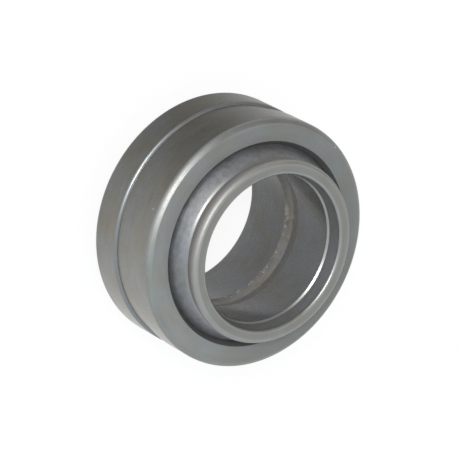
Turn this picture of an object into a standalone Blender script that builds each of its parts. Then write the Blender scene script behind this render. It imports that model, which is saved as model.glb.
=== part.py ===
"""Radial spherical plain bearing, steel on steel, open, with a wide inner ring.

The inner ring is a ball with a cylindrical collar at each end and a bore for the shaft. It stands
on the end face of its lower collar, with the bearing's axis along +Z and the origin in the middle
of that face. The outer ring runs on the ball and can tilt about its centre.
"""

import math

import bpy
from mathutils import Vector

MM = 0.001

# Across the bearing, from the bore outwards: the wall of a collar, the rise from a collar to the
# ball's equator, the running clearance between ball and seat, and the outer ring's wall there
BORE_DIAMETER = 25.0 * MM
COLLAR_WALL = 2.85 * MM
BALL_RISE = 2.65 * MM
SEAT_CLEARANCE = 0.3 * MM
OUTER_WALL = 2.7 * MM

# Along the axis
INNER_WIDTH = 25.0 * MM
OUTER_WIDTH = 16.0 * MM

# Outside of a collar: its rounded edge, the shortest land below that edge, and the shallow relief
# at its foot, which is deepest where it meets the ball
COLLAR_EDGE_RADIUS = 0.8 * MM
COLLAR_LAND = 0.3 * MM
FOOT_RELIEF_LENGTH = 1.9 * MM
FOOT_RELIEF_DEPTH = 0.53 * MM

# Inside of the inner ring. Each lead-in is a slight cone that opens the bore by its depth at the end
# face and meets the bore in a small 45 degree step.
LEAD_IN_LENGTH = 2.8 * MM
LEAD_IN_DEPTH = 0.62 * MM
LEAD_IN_STEP = 0.3 * MM
LEAD_IN_EDGE_RADIUS = 0.5 * MM
BORE_GROOVE_WIDTH = 3.6 * MM
BORE_GROOVE_DEPTH = 0.38 * MM
BORE_OIL_HOLE_DIAMETER = 2.5 * MM

# Outer ring: the chamfer of its outer edges and its rounding into the side, the chamfer of its seat,
# its groove and its oil hole
OUTER_EDGE_HEIGHT = 0.72 * MM
OUTER_EDGE_DEPTH = 0.75 * MM
OUTER_EDGE_RADIUS = 1.0 * MM
SEAT_CHAMFER_HEIGHT = 0.95 * MM
SEAT_CHAMFER_DEPTH = 0.39 * MM
OUTER_GROOVE_WIDTH = 3.6 * MM
OUTER_GROOVE_FLANK = 0.18 * MM
OUTER_GROOVE_DEPTH = 0.45 * MM
OUTER_OIL_HOLE_DIAMETER = 2.5 * MM

# Radii that follow: collar 15.35 mm, ball 18 mm, seat 18.3 mm, outside 21 mm
BORE = BORE_DIAMETER / 2
COLLAR = BORE + COLLAR_WALL
BALL = COLLAR + BALL_RISE
SEAT = BALL + SEAT_CLEARANCE
OUTSIDE = SEAT + OUTER_WALL

# Azimuth of each oil hole about the axis, in degrees from +X
OUTER_OIL_HOLE_AZIMUTH = 90.0
BORE_OIL_HOLE_AZIMUTH = -90.0

# Fineness of the turned surfaces
TURN_STEPS = 80
EDGE_STEPS = 3
BALL_STEPS = 7
SEAT_STEPS = 6
GROOVE_STEPS = 3
HOLE_SIDES = 24
SHARP_ANGLE = math.radians(35)
MERGE_DISTANCE = 0.01 * MM

# Colour and roughness of each ring's steel
BALL_STEEL = ((0.23, 0.23, 0.225), 0.34)
RACE_STEEL = ((0.25, 0.25, 0.24), 0.36)

# How far a cutter runs past the surfaces that it goes through
CUTTER_MARGIN = 0.2 * MM

BALL_CENTRE = (0, 0, INNER_WIDTH / 2)


def clear_scene():
    for obj in list(bpy.data.objects):
        bpy.data.objects.remove(obj, do_unlink=True)


def new_collection(name):
    collection = bpy.data.collections.new(name)
    bpy.context.scene.collection.children.link(collection)
    return collection


def steel(name, colour, roughness):
    material = bpy.data.materials.new(name)
    material.use_nodes = True
    shader = material.node_tree.nodes["Principled BSDF"]
    shader.inputs["Base Color"].default_value = (*colour, 1)
    shader.inputs["Metallic"].default_value = 1
    shader.inputs["Roughness"].default_value = roughness
    return material


def rounded(before, corner, after, radius):
    """Points of an arc in place of a corner between two straight runs of a section."""
    back = (Vector(before) - Vector(corner)).normalized()
    ahead = (Vector(after) - Vector(corner)).normalized()
    half_angle = back.angle(ahead) / 2
    centre = Vector(corner) + (back + ahead).normalized() * radius / math.sin(half_angle)
    reach = radius / math.tan(half_angle)
    first = Vector(corner) + back * reach - centre
    last = Vector(corner) + ahead * reach - centre
    return [tuple(centre + radius * first.slerp(last, step / EDGE_STEPS)) for step in range(EDGE_STEPS + 1)]


def ball_arc(radius, start_height, steps):
    """Half of a sphere's section, from a height above its centre down to its equator."""
    start = math.asin(start_height / radius)
    angles = [start * (1 - step / steps) for step in range(steps + 1)]
    return [(radius * math.cos(angle), radius * math.sin(angle)) for angle in angles]


def round_groove(radius, width, depth):
    """Upper half of a round-bottomed groove in a bore, from its edge to its deepest point."""
    half = width / 2
    curve = (half ** 2 + depth ** 2) / (2 * depth)
    start = math.asin(half / curve)
    centre = radius + depth - curve
    angles = [start * (1 - step / GROOVE_STEPS) for step in range(GROOVE_STEPS + 1)]
    return [(centre + curve * math.cos(angle), curve * math.sin(angle)) for angle in angles]


def mirrored(upper):
    """A half section that ends at the middle plane, completed below it."""
    above = [point for point in upper if point[1] > 0]
    middle = [point for point in upper if point[1] == 0]
    below = [(radius, -height) for radius, height in reversed(above)]
    return above + middle + below


def foot_relief(half_width):
    """The relief at a collar's foot: its deepest radius, and the height at which it ends."""
    ball_end = math.sqrt(BALL ** 2 - COLLAR ** 2)
    room = half_width - COLLAR_EDGE_RADIUS - COLLAR_LAND - ball_end
    length = min(FOOT_RELIEF_LENGTH, room)
    deepest = COLLAR - FOOT_RELIEF_DEPTH * length / FOOT_RELIEF_LENGTH
    return deepest, ball_end + length


def inner_ring_section():
    half_width = INNER_WIDTH / 2
    bore_start = half_width - LEAD_IN_LENGTH
    deepest, relief_end = foot_relief(half_width)
    collar_start = (COLLAR, relief_end)
    rim = (COLLAR, half_width)
    lead_in = (BORE + LEAD_IN_DEPTH, half_width)
    step = (BORE + LEAD_IN_STEP, bore_start + LEAD_IN_STEP)
    outside = rounded(lead_in, rim, collar_start, COLLAR_EDGE_RADIUS)
    outside += [collar_start]
    outside += ball_arc(BALL, math.sqrt(BALL ** 2 - deepest ** 2), BALL_STEPS)
    inside = rounded(rim, lead_in, step, LEAD_IN_EDGE_RADIUS)
    inside += [step, (BORE, bore_start)]
    inside += round_groove(BORE, BORE_GROOVE_WIDTH, BORE_GROOVE_DEPTH)
    return mirrored(outside) + list(reversed(mirrored(inside)))


def outer_ring_section():
    half_width = OUTER_WIDTH / 2
    half_groove = OUTER_GROOVE_WIDTH / 2
    face_end = (OUTSIDE - OUTER_EDGE_DEPTH, half_width)
    side_end = (OUTSIDE, half_width - OUTER_EDGE_HEIGHT)
    groove_edge = (OUTSIDE, half_groove)
    groove_floor = (OUTSIDE - OUTER_GROOVE_DEPTH, half_groove - OUTER_GROOVE_FLANK)
    outside = [face_end] + rounded(face_end, side_end, groove_edge, OUTER_EDGE_RADIUS)
    outside += [groove_edge, groove_floor]
    seat_arc = ball_arc(SEAT, half_width - SEAT_CHAMFER_HEIGHT, SEAT_STEPS)
    inside = [(seat_arc[0][0] + SEAT_CHAMFER_DEPTH, half_width)] + seat_arc
    return mirrored(outside) + list(reversed(mirrored(inside)))


def turned(name, section, material, collection):
    """A ring turned about Z from its closed section, with its origin at the ball's centre."""
    count = len(section)
    mesh = bpy.data.meshes.new(name)
    points = [(radius, 0, height) for radius, height in section]
    edges = [(index, (index + 1) % count) for index in range(count)]
    mesh.from_pydata(points, edges, [])
    ring = bpy.data.objects.new(name, mesh)
    ring.location = BALL_CENTRE
    ring.data.materials.append(material)
    collection.objects.link(ring)
    screw = ring.modifiers.new("turn", "SCREW")
    screw.axis = "Z"
    screw.angle = 2 * math.pi
    screw.steps = screw.render_steps = TURN_STEPS
    screw.use_merge_vertices = True
    screw.merge_threshold = MERGE_DISTANCE
    return ring


def drill(ring, diameter, inner_reach, outer_reach, azimuth, cutters):
    """A radial oil hole through one wall of a ring, between two distances from the axis."""
    start = inner_reach - CUTTER_MARGIN
    end = outer_reach + CUTTER_MARGIN
    angle = math.radians(azimuth)
    middle = (start + end) / 2
    place = (middle * math.cos(angle), middle * math.sin(angle), BALL_CENTRE[2])
    bpy.ops.mesh.primitive_cylinder_add(
        vertices=HOLE_SIDES, radius=diameter / 2, depth=end - start,
        location=place, rotation=(0, math.pi / 2, angle))
    cutter = bpy.context.object
    cutter.name = ring.name + "_oil_hole"
    for collection in list(cutter.users_collection):
        collection.objects.unlink(cutter)
    cutters.objects.link(cutter)
    cutter.hide_render = True
    cutter.display_type = "WIRE"
    cut = ring.modifiers.new("oil_hole", "BOOLEAN")
    cut.operation = "DIFFERENCE"
    cut.solver = "EXACT"
    cut.object = cutter


def finish_shape(ring):
    """Apply the ring's modifiers, then shade its turned surfaces smooth."""
    graph = bpy.context.evaluated_depsgraph_get()
    mesh = bpy.data.meshes.new_from_object(ring.evaluated_get(graph))
    ring.modifiers.clear()
    ring.data = mesh
    mesh.shade_smooth()
    mesh.set_sharp_from_angle(angle=SHARP_ANGLE)


def build_inner_ring(parts, cutters):
    material = steel("ball_steel", *BALL_STEEL)
    ring = turned("inner_ring", inner_ring_section(), material, parts)
    drill(ring, BORE_OIL_HOLE_DIAMETER, BORE, BALL, BORE_OIL_HOLE_AZIMUTH, cutters)
    finish_shape(ring)


def build_outer_ring(parts, cutters):
    material = steel("race_steel", *RACE_STEEL)
    ring = turned("outer_ring", outer_ring_section(), material, parts)
    groove_floor = OUTSIDE - OUTER_GROOVE_DEPTH
    drill(ring, OUTER_OIL_HOLE_DIAMETER, SEAT, groove_floor, OUTER_OIL_HOLE_AZIMUTH, cutters)
    finish_shape(ring)


def build():
    clear_scene()
    parts = new_collection("spherical_plain_bearing")
    cutters = new_collection("cutters")
    build_inner_ring(parts, cutters)
    build_outer_ring(parts, cutters)


build()
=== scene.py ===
"""Looks of the radial spherical plain bearing: two turned steel rings in a soft white studio.

Both rings are turned here from the same sizes as the solids, in finer steps, with their small edge
roundings and the real running clearance. Each kind of surface has its own procedural steel, from the
ground ball, side and bore to the worn groove in the bore with its dry residue. The groove's lower
wall and edge are painted lighter and its upper wall darker, as painted light and painted shade, and
one side of the outer ring's face is painted lighter as painted light.
"""

import math
from dataclasses import dataclass

import bmesh
import bpy
from mathutils import Matrix, Vector


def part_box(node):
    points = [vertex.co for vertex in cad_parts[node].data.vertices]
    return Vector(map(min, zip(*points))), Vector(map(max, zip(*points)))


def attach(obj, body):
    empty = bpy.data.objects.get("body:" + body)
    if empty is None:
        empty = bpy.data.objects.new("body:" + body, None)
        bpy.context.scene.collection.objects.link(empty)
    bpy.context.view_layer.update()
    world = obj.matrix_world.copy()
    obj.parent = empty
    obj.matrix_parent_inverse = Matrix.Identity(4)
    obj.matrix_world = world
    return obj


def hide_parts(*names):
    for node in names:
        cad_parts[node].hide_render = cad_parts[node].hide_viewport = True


MM = 0.001

# Camera: how far above the horizon it stands, how far it is rolled, its distance from the ball's
# centre, where that centre lies in its view, its lens and sensor in Blender's millimetres, and how
# near and far it sees, in metres
VIEW_ELEVATION = math.radians(49.69)
VIEW_ROLL = math.radians(118.07)
VIEW_DISTANCE = 566.6 * MM
CENTRE_RIGHT = 0.04 * MM
CENTRE_DOWN = 0.063 * MM
LENS = 275.1
SENSOR_WIDTH = 36.0
NEAREST_SEEN = 0.05
FARTHEST_SEEN = 50.0

# Inner ring. Its collars end in a shallow relief at their foot, which a 45 degree flank joins to
# the ball, and its lead-ins end in a small 45 degree step. At its groove a strip of bore and the
# first points of the groove's curve are worn.
BORE = 12.5 * MM
COLLAR = 15.35 * MM
COLLAR_EDGE = 0.8 * MM
FOOT = 15.2 * MM
FOOT_FLANK = 0.38 * MM
FOOT_RELIEF_LENGTH = 1.3 * MM
FOOT_ROUNDING = 0.3 * MM
LEAD_IN_LENGTH = 2.8 * MM
LEAD_IN_DEPTH = 0.62 * MM
LEAD_IN_STEP = 0.3 * MM
LEAD_IN_EDGE = 0.5 * MM
STEP_ROUNDING = 0.08 * MM
BORE_GROOVE_WIDTH = 3.6 * MM
BORE_GROOVE_DEPTH = 0.38 * MM
WORN_STRIP = 0.1 * MM
WORN_POINTS = 3

# Outer ring, with the real running clearance of the ball in its seat
SEAT_CLEARANCE = 0.05 * MM
OUTER_EDGE_HEIGHT = 0.72 * MM
OUTER_EDGE_DEPTH = 0.75 * MM
SIDE_ROUNDING = 1.0 * MM
FACE_ROUNDING = 0.5 * MM
FACE_INNER_EDGE = 17.28 * MM
SEAT_CHAMFER_HEIGHT = 0.95 * MM
SEAT_CHAMFER_EDGE = 0.1 * MM
OUTER_GROOVE_WIDTH = 3.6 * MM
OUTER_GROOVE_FLANK = 0.18 * MM
OUTER_GROOVE_DEPTH = 0.45 * MM
GROOVE_FLOOR_ROUNDING = 0.03 * MM
GROOVE_EDGE_ROUNDING = 0.5 * MM

# Oil holes: diameter, chamfer of their mouths and azimuth about the axis
OIL_HOLE_DIAMETER = 2.5 * MM
OIL_HOLE_CHAMFER = 0.25 * MM
OUTER_OIL_HOLE_AZIMUTH = math.radians(90)
BORE_OIL_HOLE_AZIMUTH = math.radians(-90)

# Fineness: steps round the axis, the largest step of a rounding, of ball and seat and of the bore's
# groove, and the sides of an oil hole. A straight run has a support point this close to each of its
# ends, and points closer than SAME_POINT are one. Where a cut leaves two points closer than SEAM,
# they are merged, and edges from SHARP_ANGLE up stay sharp.
TURN_STEPS = 360
ROUNDING_STEP = math.radians(9)
BALL_STEP = math.radians(2)
GROOVE_STEP = math.radians(4)
HOLE_SIDES = 48
SUPPORT = 0.06 * MM
SAME_POINT = 0.002 * MM
SEAM = 0.0001 * MM
SHARP_ANGLE = math.radians(35)

# Marks on the steel: turning lines and streaks (their pitch across, and how often they change round
# the ring), clouds of tint, mottling and grain
LINE_PITCH = 0.12 * MM
LINES_AROUND = 5.0
STREAK_PITCH = 0.9 * MM
STREAKS_AROUND = 3.0
CLOUD_SIZE = 5.0 * MM
MOTTLE_SIZE = 0.9 * MM
GRAIN_SIZE = 0.22 * MM

# How far noise is spread about its mean, how far from the mean of the clouds each tint is whole, and
# how much streaks and mottling change the roughness
NOISE_SPREAD = 4
TINT_REACH = 0.5
STREAK_ROUGHNESS = 0.03
MOTTLE_ROUGHNESS = 0.04

# Small bright nicks: their usual chance in each cell of their spacing, and how much of their radius
# is their full colour
NICK_CHANCE = 0.12
NICK_RADIUS = 0.16 * MM
NICK_CORE = 0.6
NICK_COLOUR = (0.62, 0.61, 0.59)

# Dry residue: the weight of the clouds beside the mottling, and the sums of both at which a patch
# starts and is whole
RESIDUE_CLOUDS = 1.6
RESIDUE_FROM = 0.5
RESIDUE_WHOLE = 1.3
RESIDUE_COLOUR = (0.44, 0.43, 0.4)

# The side towards which a face is painted lighter, as painted light, and the cosine of the angle from it
# at which that starts; and the roughness of the thin film of oil
PAINTED_LIGHT_AZIMUTH = math.radians(-55)
PAINTED_LIGHT_FROM = -0.3
OIL_ROUGHNESS = 0.2

# World: white, dimmer and warmer towards -X and a little cooler towards +X. Each change runs between
# two values of X on its sphere.
WORLD_DIM = 0.4
WORLD_FULL = 1.03
WORLD_DIM_X = -0.85
WORLD_FULL_X = -0.15
WORLD_WARM = (1, 0.98, 0.92)
WORLD_COOL = (0.92, 1, 1.04)
WORLD_WARM_X = -0.85
WORLD_COOL_X = 0.8

# Floor: its size in metres, its colour, and the share of it that is plain white to the camera, while
# the rest takes the light and the object's shadow. Metal sees two soft shades on it: the middle of
# each, its level there, and how far from the middle it starts to fade and ends.
FLOOR_SIZE = 20
FLOOR_COLOUR = 0.85
FLOOR_GLOW = 0.9
SIDE_SHADE = {"x": -30 * MM, "y": -30 * MM, "level": 0.1, "start": 12 * MM, "end": 55 * MM}
BORE_SHADE = {"x": 5 * MM, "y": 5 * MM, "level": 0.68, "start": 6 * MM, "end": 16 * MM}

# Distance of the lamps from the ball's centre, in metres
LAMP_DISTANCE = 0.6


def look_camera(centre):
    """Camera on the -Y side, looking down at the ball's centre and rolled about its view axis."""
    forward = Vector((0, math.cos(VIEW_ELEVATION), -math.sin(VIEW_ELEVATION)))
    side = Vector((1, 0, 0))
    above = side.cross(forward)
    right = math.cos(VIEW_ROLL) * side + math.sin(VIEW_ROLL) * above
    up = math.cos(VIEW_ROLL) * above - math.sin(VIEW_ROLL) * side
    data = bpy.data.cameras.new("camera")
    data.lens = LENS
    data.sensor_width = SENSOR_WIDTH
    data.clip_start = NEAREST_SEEN
    data.clip_end = FARTHEST_SEEN
    camera = bpy.data.objects.new("camera", data)
    place = centre - VIEW_DISTANCE * forward - CENTRE_RIGHT * right + CENTRE_DOWN * up
    turn = Matrix((right, up, -forward)).transposed().to_4x4()
    camera.matrix_world = Matrix.Translation(place) @ turn
    bpy.context.scene.collection.objects.link(camera)
    bpy.context.scene.camera = camera


def arc(centre, radius, start, end, step=ROUNDING_STEP):
    """Points of an arc in a section, from one angle to the other."""
    count = max(2, math.ceil(abs(end - start) / step))
    angles = [start + (end - start) * index / count for index in range(count + 1)]
    return [Vector((centre[0] + radius * math.cos(a), centre[1] + radius * math.sin(a))) for a in angles]


def blended(before, corner, after, radius):
    """An arc of the given radius in place of a corner between two straight runs."""
    back = (Vector(before) - Vector(corner)).normalized()
    ahead = (Vector(after) - Vector(corner)).normalized()
    half = back.angle(ahead) / 2
    reach = radius / math.tan(half)
    centre = Vector(corner) + (back + ahead).normalized() * radius / math.sin(half)
    first = Vector(corner) + back * reach - centre
    last = Vector(corner) + ahead * reach - centre
    start = math.atan2(first.y, first.x)
    turn = (math.atan2(last.y, last.x) - start + math.pi) % (2 * math.pi) - math.pi
    return arc(centre, radius, start, start + turn)


class Section:
    """Upper half of a ring's section: runs of points, each with the finish of its surface."""

    def __init__(self):
        self.points = []
        self.finishes = []

    def run(self, points, finish):
        """Add points; the surface up to each of them has this finish."""
        for point in points:
            point = Vector(point)
            if self.points and (point - self.points[-1]).length < SAME_POINT:
                continue
            if self.points:
                self.finishes.append(finish)
            self.points.append(point)

    def straight(self, end, finish):
        """A straight run, with a support point close to each end where it is long enough."""
        start = self.points[-1]
        end = Vector(end)
        length = (end - start).length
        if length > 3 * SUPPORT:
            way = (end - start) / length
            self.run([start + way * SUPPORT, end - way * SUPPORT], finish)
        self.run([end], finish)

    def corner(self, corner, after, radius, before_finish, corner_finish):
        """A straight run up to a rounded corner, then the rounding towards the next corner."""
        points = blended(self.points[-1], corner, after, radius)
        self.straight(points[0], before_finish)
        self.run(points, corner_finish)

    def whole(self, lower_finishes=None):
        """This half, which starts and ends at the middle plane, and its mirror below it.

        The mirror may take other finishes, which are given by the ones that they replace.
        """
        other = lower_finishes or {}
        low = [Vector((point.x, -point.y)) for point in reversed(self.points)]
        lower = [other.get(finish, finish) for finish in reversed(self.finishes)]
        return self.points + low[1:-1], self.finishes + lower


def groove_arc(radius, width, depth):
    """Upper half of a round-bottomed groove in a bore, from its edge to its deepest point."""
    curve = ((width / 2) ** 2 + depth ** 2) / (2 * depth)
    start = math.asin(width / 2 / curve)
    return arc((radius + depth - curve, 0), curve, start, 0, GROOVE_STEP)


def inner_section(ball, half_width):
    """From the ball's equator over the collar and down the bore to the middle of its groove."""
    foot = math.sqrt(ball ** 2 - FOOT ** 2)
    relief = (FOOT - FOOT_FLANK, foot + FOOT_FLANK)
    relief_end = (COLLAR, relief[1] + FOOT_RELIEF_LENGTH)
    rim = (COLLAR, half_width)
    lead_in = (BORE + LEAD_IN_DEPTH, half_width)
    neck = half_width - LEAD_IN_LENGTH
    step = (BORE + LEAD_IN_STEP, neck + LEAD_IN_STEP)
    bore_start = (BORE, neck)
    groove_edge = (BORE, BORE_GROOVE_WIDTH / 2)
    groove = groove_arc(BORE, BORE_GROOVE_WIDTH, BORE_GROOVE_DEPTH)
    section = Section()
    section.run(arc((0, 0), ball, 0, math.asin(foot / ball), BALL_STEP), "ball")
    section.corner(relief, relief_end, FOOT_ROUNDING, "foot", "foot")
    section.corner(relief_end, rim, COLLAR_EDGE, "collar", "collar")
    section.corner(rim, lead_in, COLLAR_EDGE, "collar", "collar_edge")
    section.corner(lead_in, step, LEAD_IN_EDGE, "inner_face", "mouth")
    section.corner(step, bore_start, STEP_ROUNDING, "lead_in", "step")
    section.corner(bore_start, groove_edge, STEP_ROUNDING, "step", "step")
    section.straight((BORE, groove_edge[1] + WORN_STRIP), "bore")
    section.run(groove[:WORN_POINTS], "worn_edge")
    section.run(groove[WORN_POINTS:], "groove_shaded_upper_wall")
    # The mirrored lower half of the groove takes lighter finishes, as painted light, and the upper half a
    # darker one, as painted shade.
    return section.whole({"worn_edge": "groove_lit_crust", "groove_shaded_upper_wall": "groove_lit_lower_wall"})


def outer_section(ball, outside, half_width):
    """From the middle of the outer groove over the face and down the seat to its middle."""
    floor = outside - OUTER_GROOVE_DEPTH
    groove_edge = (outside, OUTER_GROOVE_WIDTH / 2)
    floor_edge = (floor, groove_edge[1] - OUTER_GROOVE_FLANK)
    side_end = (outside, half_width - OUTER_EDGE_HEIGHT)
    face_end = (outside - OUTER_EDGE_DEPTH, half_width)
    face_inner = (FACE_INNER_EDGE, half_width)
    seat = ball + SEAT_CLEARANCE
    seat_end = half_width - SEAT_CHAMFER_HEIGHT
    seat_edge = (math.sqrt(seat ** 2 - seat_end ** 2), seat_end)
    section = Section()
    section.run([(floor, 0)], "ground")
    section.corner(floor_edge, groove_edge, GROOVE_FLOOR_ROUNDING, "ground", "flank")
    section.corner(groove_edge, side_end, GROOVE_EDGE_ROUNDING, "flank", "flank")
    section.corner(side_end, face_end, SIDE_ROUNDING, "ground", "edge")
    section.corner(face_end, face_inner, FACE_ROUNDING, "edge", "edge")
    section.corner(face_inner, seat_edge, SEAT_CHAMFER_EDGE, "outer_face", "chamfer")
    section.straight(seat_edge, "chamfer")
    section.run(arc((0, 0), seat, math.asin(seat_end / seat), 0, BALL_STEP), "seat")
    return section.whole()


def turned_ring(name, section, centre, steels):
    """A ring turned about the upright axis from its section, with a material for each finish in it."""
    points, tags = section
    count = len(points)
    finishes = list(dict.fromkeys(tags))
    turns = [2 * math.pi * step / TURN_STEPS for step in range(TURN_STEPS)]
    verts = [(point.x * math.cos(turn), point.x * math.sin(turn), point.y + centre.z)
             for turn in turns for point in points]
    faces = []
    kinds = []
    for step in range(TURN_STEPS):
        here = step * count
        there = (step + 1) % TURN_STEPS * count
        for index, tag in enumerate(tags):
            ahead = (index + 1) % count
            faces.append((here + index, there + index, there + ahead, here + ahead))
            kinds.append(finishes.index(tag))
    mesh = bpy.data.meshes.new(name)
    mesh.from_pydata(verts, [], faces)
    mesh.polygons.foreach_set("material_index", kinds)
    for finish in finishes:
        mesh.materials.append(steels[finish])
    mesh.update()
    ring = bpy.data.objects.new(name, mesh)
    bpy.context.scene.collection.objects.link(ring)
    return ring


def hole_cutter(name, inner, outer, azimuth, centre):
    """Cutter of a radial oil hole with chamfered mouths, between two distances from the axis.

    It is turned about its own Z axis from a profile that starts and ends on that axis.
    """
    radius = OIL_HOLE_DIAMETER / 2
    beyond = radius + 2 * OIL_HOLE_CHAMFER
    half = (outer - inner) / 2
    reach = half + OIL_HOLE_CHAMFER
    neck = half - OIL_HOLE_CHAMFER
    profile = [(0, reach), (beyond, reach), (radius, neck), (radius, -neck), (beyond, -reach), (0, -reach)]
    shape = bmesh.new()
    verts = [shape.verts.new((distance, 0, height)) for distance, height in profile]
    edges = [shape.edges.new(pair) for pair in zip(verts, verts[1:])]
    bmesh.ops.spin(shape, geom=verts + edges, axis=(0, 0, 1), cent=(0, 0, 0), angle=2 * math.pi,
                   steps=HOLE_SIDES)
    bmesh.ops.remove_doubles(shape, verts=shape.verts, dist=SAME_POINT)
    bmesh.ops.recalc_face_normals(shape, faces=shape.faces)
    mesh = bpy.data.meshes.new(name)
    shape.to_mesh(mesh)
    shape.free()
    cutter = bpy.data.objects.new(name, mesh)
    direction = Vector((math.cos(azimuth), math.sin(azimuth), 0))
    turn = direction.to_track_quat("Z", "Y").to_matrix().to_4x4()
    cutter.matrix_world = Matrix.Translation(centre + direction * (inner + outer) / 2) @ turn
    bpy.context.scene.collection.objects.link(cutter)
    return cutter


def drill(ring, inner, outer, azimuth, centre):
    """Cut an oil hole into a ring, then shade the ring smooth up to its sharp edges.

    The walls of the hole take the ring's first finish.
    """
    cutter = hole_cutter(ring.name + "_drill", inner, outer, azimuth, centre)
    boolean = ring.modifiers.new("oil_hole", "BOOLEAN")
    boolean.operation = "DIFFERENCE"
    boolean.solver = "EXACT"
    boolean.object = cutter
    graph = bpy.context.evaluated_depsgraph_get()
    mesh = bpy.data.meshes.new_from_object(ring.evaluated_get(graph))
    ring.modifiers.clear()
    ring.data = mesh
    bpy.data.objects.remove(cutter)
    shape = bmesh.new()
    shape.from_mesh(mesh)
    bmesh.ops.remove_doubles(shape, verts=shape.verts, dist=SEAM)
    shape.to_mesh(mesh)
    shape.free()
    mesh.shade_smooth()
    mesh.set_sharp_from_angle(angle=SHARP_ANGLE)


class Graph:
    """The nodes of a material or a world, with short calls for those that are used most."""

    def __init__(self, owner):
        owner.use_nodes = True
        self.nodes = owner.node_tree.nodes
        self.links = owner.node_tree.links

    def add(self, kind, **settings):
        node = self.nodes.new(kind)
        for key, value in settings.items():
            setattr(node, key, value)
        return node

    def feed(self, socket, value):
        """Link an output to a socket, or set the socket's own value."""
        if isinstance(value, bpy.types.NodeSocket):
            self.links.new(value, socket)
        else:
            socket.default_value = value

    def maths(self, operation, *values):
        node = self.add("ShaderNodeMath", operation=operation)
        for socket, value in zip(node.inputs, values):
            self.feed(socket, value)
        return node.outputs[0]

    def joined(self, x, y, z):
        node = self.add("ShaderNodeCombineXYZ")
        for socket, value in zip(node.inputs, (x, y, z)):
            self.feed(socket, value)
        return node.outputs[0]

    def apart(self, vector):
        node = self.add("ShaderNodeSeparateXYZ")
        self.feed(node.inputs[0], vector)
        return node.outputs

    def scaled(self, vector, scale):
        node = self.add("ShaderNodeVectorMath", operation="SCALE")
        self.feed(node.inputs[0], vector)
        self.feed(node.inputs["Scale"], scale)
        return node.outputs[0]

    def noise(self, vector, scale, detail, roughness=0.5, w=None):
        """Noise with a mean of zero, about -1 to 1; in four dimensions where w is given."""
        node = self.add("ShaderNodeTexNoise", noise_dimensions="3D" if w is None else "4D")
        self.feed(node.inputs["Vector"], vector)
        if w is not None:
            self.feed(node.inputs["W"], w)
        self.feed(node.inputs["Scale"], scale)
        self.feed(node.inputs["Detail"], detail)
        self.feed(node.inputs["Roughness"], roughness)
        return self.maths("MULTIPLY_ADD", node.outputs["Fac"], NOISE_SPREAD, -NOISE_SPREAD / 2)

    def mix(self, fac, first, second):
        """A mix of two colours; a plain colour is given as red, green and blue."""
        node = self.add("ShaderNodeMix", data_type="RGBA")
        self.feed(node.inputs["Factor"], fac)
        for key, colour in (("A", first), ("B", second)):
            self.feed(node.inputs[key], (*colour, 1) if isinstance(colour, tuple) else colour)
        return node.outputs["Result"]

    def mapped(self, value, low, high, to_low=0.0, to_high=1.0, smooth=True):
        """A value carried from one range to another, and held at its ends."""
        kind = "SMOOTHSTEP" if smooth else "LINEAR"
        node = self.add("ShaderNodeMapRange", interpolation_type=kind)
        for key, number in (("From Min", low), ("From Max", high), ("To Min", to_low), ("To Max", to_high)):
            self.feed(node.inputs[key], number)
        self.feed(node.inputs["Value"], value)
        return node.outputs["Result"]


@dataclass
class Finish:
    """How one kind of steel surface looks.

    Streaks, lines, clouds and mottling are shares of its brightness, and the two heights are those
    of its bump. Nicks are the chance of one in each cell of their spacing. Residue, the painted light
    on one side and the oil film are the most that there is of each.
    """
    cool: tuple
    warm: tuple
    roughness: float
    streaks: float = 0.06
    lines: float = 0.05
    clouds: float = 0.05
    mottling: float = 0.0
    line_height: float = 0.0006 * MM
    grain_height: float = 0.002 * MM
    metallic: float = 1.0
    nicks: float = 0.0
    nick_spacing: float = 2.5 * MM
    residue: float = 0.0
    painted_light_side: float = 0.0
    oil_film: float = 0.0


# Finely ground surfaces have faint lines and little grain
FINE = {"lines": 0.02, "line_height": 0.0002 * MM, "grain_height": 0.0006 * MM}

OUTER_RING_FINISHES = {
    "ground": Finish((0.211, 0.214, 0.204), (0.22, 0.209, 0.18), 0.3, clouds=0.08, mottling=0.04,
                     metallic=0.85, nicks=NICK_CHANCE, oil_film=0.25, **FINE),
    "flank": Finish((0.225, 0.234, 0.24), (0.225, 0.229, 0.23), 0.32, metallic=0.88, nicks=NICK_CHANCE,
                    **FINE),
    "edge": Finish((0.238, 0.246, 0.242), (0.238, 0.24, 0.229), 0.43, metallic=0.85, nicks=NICK_CHANCE),
    # The outer face is painted lighter towards one side: painted light.
    "outer_face": Finish((0.161, 0.168, 0.169), (0.165, 0.167, 0.157), 0.42, mottling=0.03,
                         line_height=0.003 * MM, metallic=0.4, painted_light_side=0.28),
    "chamfer": Finish((0.165, 0.168, 0.174), (0.165, 0.165, 0.165), 0.5, metallic=0.8),
    "seat": Finish((0.15, 0.15, 0.157), (0.15, 0.15, 0.14), 0.5),
}

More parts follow.
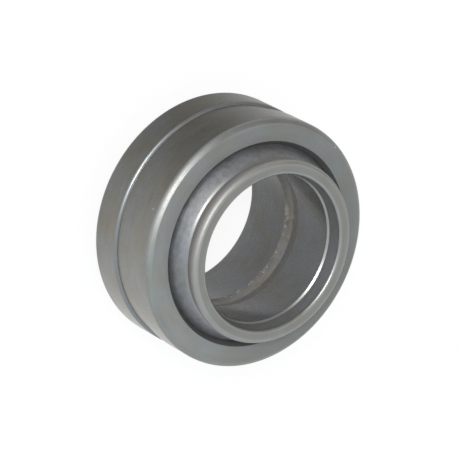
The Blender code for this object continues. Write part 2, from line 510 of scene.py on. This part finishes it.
INNER_RING_FINISHES = {
    "ball": Finish((0.205, 0.212, 0.227), (0.203, 0.204, 0.205), 0.44, streaks=0.1, mottling=0.19,
                   grain_height=0.008 * MM, metallic=0.75),
    "foot": Finish((0.235, 0.234, 0.237), (0.235, 0.233, 0.23), 0.34, metallic=0.8, nicks=NICK_CHANCE),
    "collar": Finish((0.29, 0.273, 0.267), (0.293, 0.268, 0.253), 0.42, metallic=0.6),
    "collar_edge": Finish((0.27, 0.268, 0.262), (0.27, 0.266, 0.256), 0.5, metallic=0.75,
                          nicks=NICK_CHANCE),
    "inner_face": Finish((0.22, 0.222, 0.215), (0.224, 0.219, 0.202), 0.4, mottling=0.02, metallic=0.8),
    "mouth": Finish((0.275, 0.275, 0.27), (0.275, 0.272, 0.262), 0.35, metallic=0.85, nicks=NICK_CHANCE),
    "lead_in": Finish((0.19, 0.192, 0.2), (0.19, 0.191, 0.186), 0.4, mottling=0.06, metallic=0.55),
    "step": Finish((0.3, 0.3, 0.295), (0.3, 0.298, 0.288), 0.31, metallic=0.85),
    "bore": Finish((0.2, 0.204, 0.212), (0.203, 0.2, 0.188), 0.27, clouds=0.08,
                   grain_height=0.0006 * MM, metallic=0.8, nicks=NICK_CHANCE),
    # The groove's upper wall is painted a little darker and its lower wall and edge lighter, with more
    # residue and dense bright specks there: painted shade and painted light beside the real residue.
    "worn_edge": Finish((0.18, 0.178, 0.178), (0.185, 0.178, 0.168), 0.4, mottling=0.1, metallic=0.8),
    "groove_shaded_upper_wall": Finish((0.17, 0.168, 0.17), (0.178, 0.168, 0.158), 0.42, mottling=0.1,
                          grain_height=0.004 * MM, metallic=0.75, residue=0.1),
    "groove_lit_lower_wall": Finish((0.275, 0.268, 0.26), (0.285, 0.262, 0.232), 0.48, clouds=0.14, mottling=0.16,
                           grain_height=0.008 * MM, metallic=0.45, residue=0.3),
    "groove_lit_crust": Finish((0.27, 0.265, 0.262), (0.28, 0.262, 0.24), 0.45, clouds=0.1, mottling=0.3,
                           grain_height=0.014 * MM, metallic=0.5, nicks=0.5, nick_spacing=0.5 * MM,
                           residue=0.9),
}


def with_painted_light_side(graph, level, cosine, sine, amount):
    """The level, raised towards one side of the ring as painted light, so that side looks more lit."""
    across = graph.maths("MULTIPLY", cosine, math.cos(PAINTED_LIGHT_AZIMUTH))
    towards = graph.maths("MULTIPLY_ADD", sine, math.sin(PAINTED_LIGHT_AZIMUTH), across)
    return graph.maths("MULTIPLY", level, graph.mapped(towards, PAINTED_LIGHT_FROM, 1, 1, 1 + amount))


def with_residue(graph, colour, clouds, mottle, amount):
    """The colour, with patches of dry residue."""
    crust = graph.maths("MULTIPLY_ADD", clouds, RESIDUE_CLOUDS, mottle)
    return graph.mix(graph.mapped(crust, RESIDUE_FROM, RESIDUE_WHOLE, 0, amount), colour, RESIDUE_COLOUR)


def with_nicks(graph, colour, place, chance, spacing):
    """The colour, with a small bright nick in some of the cells of a Voronoi pattern."""
    cells = graph.add("ShaderNodeTexVoronoi", feature="F1")
    graph.feed(cells.inputs["Vector"], place)
    graph.feed(cells.inputs["Scale"], 1 / spacing)
    draw = graph.add("ShaderNodeSeparateColor")
    graph.feed(draw.inputs[0], cells.outputs["Color"])
    chosen = graph.maths("LESS_THAN", draw.outputs[0], chance)
    edge = NICK_RADIUS / spacing
    spot = graph.mapped(cells.outputs["Distance"], NICK_CORE * edge, edge, 1, 0)
    return graph.mix(graph.maths("MULTIPLY", spot, chosen), colour, NICK_COLOUR)


def steel(name, finish):
    """Steel with turning lines round the axis, clouds of tint, mottling, grain and a few nicks."""
    material = bpy.data.materials.new(name)
    graph = Graph(material)
    shader = graph.nodes["Principled BSDF"]
    place = graph.add("ShaderNodeTexCoord").outputs["Object"]
    x, y, z = graph.apart(place)
    squares = [graph.maths("MULTIPLY", value, value) for value in (x, y)]
    radius = graph.maths("SQRT", graph.maths("ADD", *squares))
    cosine = graph.maths("DIVIDE", x, radius)
    sine = graph.maths("DIVIDE", y, radius)

    def around(pitch, count, detail):
        """Noise that is drawn out round the axis, without a seam."""
        across = [graph.maths("DIVIDE", value, pitch) for value in (radius, z)]
        vector = graph.joined(*across, graph.maths("MULTIPLY", cosine, count))
        return graph.noise(vector, 1, detail, w=graph.maths("MULTIPLY", sine, count))

    lines = around(LINE_PITCH, LINES_AROUND, detail=2)
    streaks = around(STREAK_PITCH, STREAKS_AROUND, detail=3)
    clouds = graph.noise(place, 1 / CLOUD_SIZE, detail=3, roughness=0.55)
    mottle = graph.noise(place, 1 / MOTTLE_SIZE, detail=4, roughness=0.6)
    grain = graph.noise(place, 1 / GRAIN_SIZE, detail=2)

    level = graph.maths("MULTIPLY_ADD", lines, finish.lines, 1)
    level = graph.maths("MULTIPLY_ADD", streaks, finish.streaks, level)
    level = graph.maths("MULTIPLY_ADD", clouds, -finish.clouds, level)
    level = graph.maths("MULTIPLY_ADD", mottle, finish.mottling, level)
    # Painted light: the level rises towards one side of the face.
    if finish.painted_light_side:
        level = with_painted_light_side(graph, level, cosine, sine, finish.painted_light_side)
    tint = graph.mix(graph.mapped(clouds, -TINT_REACH, TINT_REACH), finish.cool, finish.warm)
    colour = graph.scaled(tint, level)
    if finish.residue:
        colour = with_residue(graph, colour, clouds, mottle, finish.residue)
    if finish.nicks:
        colour = with_nicks(graph, colour, place, finish.nicks, finish.nick_spacing)
    graph.feed(shader.inputs["Base Color"], colour)

    rough = graph.maths("MULTIPLY_ADD", streaks, STREAK_ROUGHNESS, finish.roughness)
    rough = graph.maths("MULTIPLY_ADD", mottle, MOTTLE_ROUGHNESS, rough)
    graph.feed(shader.inputs["Roughness"], rough)
    shader.inputs["Metallic"].default_value = finish.metallic
    shader.inputs["Coat Weight"].default_value = finish.oil_film
    shader.inputs["Coat Roughness"].default_value = OIL_ROUGHNESS

    height = graph.maths("MULTIPLY", lines, finish.line_height)
    height = graph.maths("MULTIPLY_ADD", grain, finish.grain_height, height)
    bump = graph.add("ShaderNodeBump")
    bump.inputs["Distance"].default_value = 1
    graph.feed(bump.inputs["Height"], height)
    graph.feed(shader.inputs["Normal"], bump.outputs[0])
    return material


def ball_ring(centre, ball, half_width):
    """The inner ring, in place of its solid, with its oil hole from the bore's groove to the ball."""
    steels = {name: steel("steel_" + name, finish) for name, finish in INNER_RING_FINISHES.items()}
    ring = turned_ring("ball_ring", inner_section(ball, half_width), centre, steels)
    drill(ring, BORE + BORE_GROOVE_DEPTH, ball, BORE_OIL_HOLE_AZIMUTH, centre)
    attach(ring, "inner_ring")
    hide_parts("inner_ring")


def race_ring(centre, ball, outside, half_width):
    """The outer ring, in place of its solid, with its oil hole from the outer groove to the seat."""
    steels = {name: steel("steel_" + name, finish) for name, finish in OUTER_RING_FINISHES.items()}
    ring = turned_ring("race_ring", outer_section(ball, outside, half_width), centre, steels)
    drill(ring, ball + SEAT_CLEARANCE, outside - OUTER_GROOVE_DEPTH, OUTER_OIL_HOLE_AZIMUTH, centre)
    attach(ring, "outer_ring")
    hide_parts("outer_ring")


def surround():
    """A white world that is dimmer and warmer towards -X and a little cooler towards +X."""
    world = bpy.data.worlds.new("world")
    bpy.context.scene.world = world
    graph = Graph(world)
    background = graph.nodes["Background"]
    x = graph.apart(graph.add("ShaderNodeTexCoord").outputs["Generated"])["X"]
    level = graph.mapped(x, WORLD_DIM_X, WORLD_FULL_X, WORLD_DIM, WORLD_FULL)
    tint = graph.mix(graph.mapped(x, WORLD_WARM_X, WORLD_COOL_X), WORLD_WARM, WORLD_COOL)
    graph.feed(background.inputs["Strength"], level)
    graph.feed(background.inputs["Color"], tint)


def shade_round(graph, place, x, y, level, start, end):
    """A level on the floor that rises to 1 away from a point."""
    away = graph.add("ShaderNodeVectorMath", operation="DISTANCE")
    graph.feed(away.inputs[0], place)
    graph.feed(away.inputs[1], (x, y, 0))
    return graph.mapped(away.outputs["Value"], start, end, level, 1, smooth=False)


def studio_floor():
    """A floor that is white to the camera, keeps the object's shadow, and shades what metal sees."""
    bpy.ops.mesh.primitive_plane_add(size=FLOOR_SIZE)
    floor = bpy.context.object
    floor.name = "floor"
    material = bpy.data.materials.new("floor")
    graph = Graph(material)
    graph.nodes.remove(graph.nodes["Principled BSDF"])
    diffuse = graph.add("ShaderNodeBsdfDiffuse")
    diffuse.inputs["Color"].default_value = (FLOOR_COLOUR, FLOOR_COLOUR, FLOOR_COLOUR, 1)
    path = graph.add("ShaderNodeLightPath")
    seen = path.outputs["Is Camera Ray"]
    glossy = path.outputs["Is Glossy Ray"]
    place = graph.add("ShaderNodeNewGeometry").outputs["Position"]
    shades = [shade_round(graph, place, **shade) for shade in (SIDE_SHADE, BORE_SHADE)]
    in_metal = graph.maths("MULTIPLY", graph.maths("MULTIPLY", *shades), glossy)
    glow = graph.add("ShaderNodeEmission")
    graph.feed(glow.inputs["Strength"], graph.maths("MAXIMUM", seen, in_metal))
    share = graph.maths("MULTIPLY", graph.maths("MAXIMUM", seen, glossy), FLOOR_GLOW)
    mix = graph.add("ShaderNodeMixShader")
    graph.feed(mix.inputs["Fac"], share)
    graph.feed(mix.inputs[1], diffuse.outputs[0])
    graph.feed(mix.inputs[2], glow.outputs[0])
    graph.feed(graph.nodes["Material Output"].inputs["Surface"], mix.outputs[0])
    floor.data.materials.append(material)


def lamp(name, centre, azimuth, elevation, size, power):
    """A soft round light that faces the ball's centre, with its angles in degrees."""
    data = bpy.data.lights.new(name, "AREA")
    data.shape = "DISK"
    data.size = size
    data.energy = power
    light = bpy.data.objects.new(name, data)
    bpy.context.scene.collection.objects.link(light)
    turn = math.radians(azimuth)
    rise = math.radians(elevation)
    direction = Vector((math.cos(rise) * math.cos(turn), math.cos(rise) * math.sin(turn), math.sin(rise)))
    light.location = centre + direction * LAMP_DISTANCE
    light.rotation_euler = direction.to_track_quat("Z", "Y").to_euler()


def key_lights(centre):
    """A wide soft key, and a small one above its middle that gives the edges their bright cores."""
    lamp("key", centre, azimuth=-97, elevation=32, size=0.62, power=1.5)
    lamp("key_core", centre, azimuth=-96, elevation=48, size=0.11, power=1.6)


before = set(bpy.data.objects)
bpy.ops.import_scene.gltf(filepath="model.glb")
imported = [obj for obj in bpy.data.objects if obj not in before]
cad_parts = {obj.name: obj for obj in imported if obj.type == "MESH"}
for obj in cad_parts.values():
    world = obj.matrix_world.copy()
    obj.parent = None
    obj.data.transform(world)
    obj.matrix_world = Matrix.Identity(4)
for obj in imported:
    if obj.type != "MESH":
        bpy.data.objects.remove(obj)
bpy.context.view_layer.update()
bpy.context.scene.view_settings.view_transform = "Standard"

ring_low, ring_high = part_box("inner_ring")
race_low, race_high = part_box("outer_ring")
centre = (ring_low + ring_high) / 2
ball = (ring_high.x - ring_low.x) / 2
look_camera(centre)

ball_ring(centre, ball, (ring_high.z - ring_low.z) / 2)
race_ring(centre, ball, (race_high.x - race_low.x) / 2, (race_high.z - race_low.z) / 2)
surround()
studio_floor()
key_lights(centre)
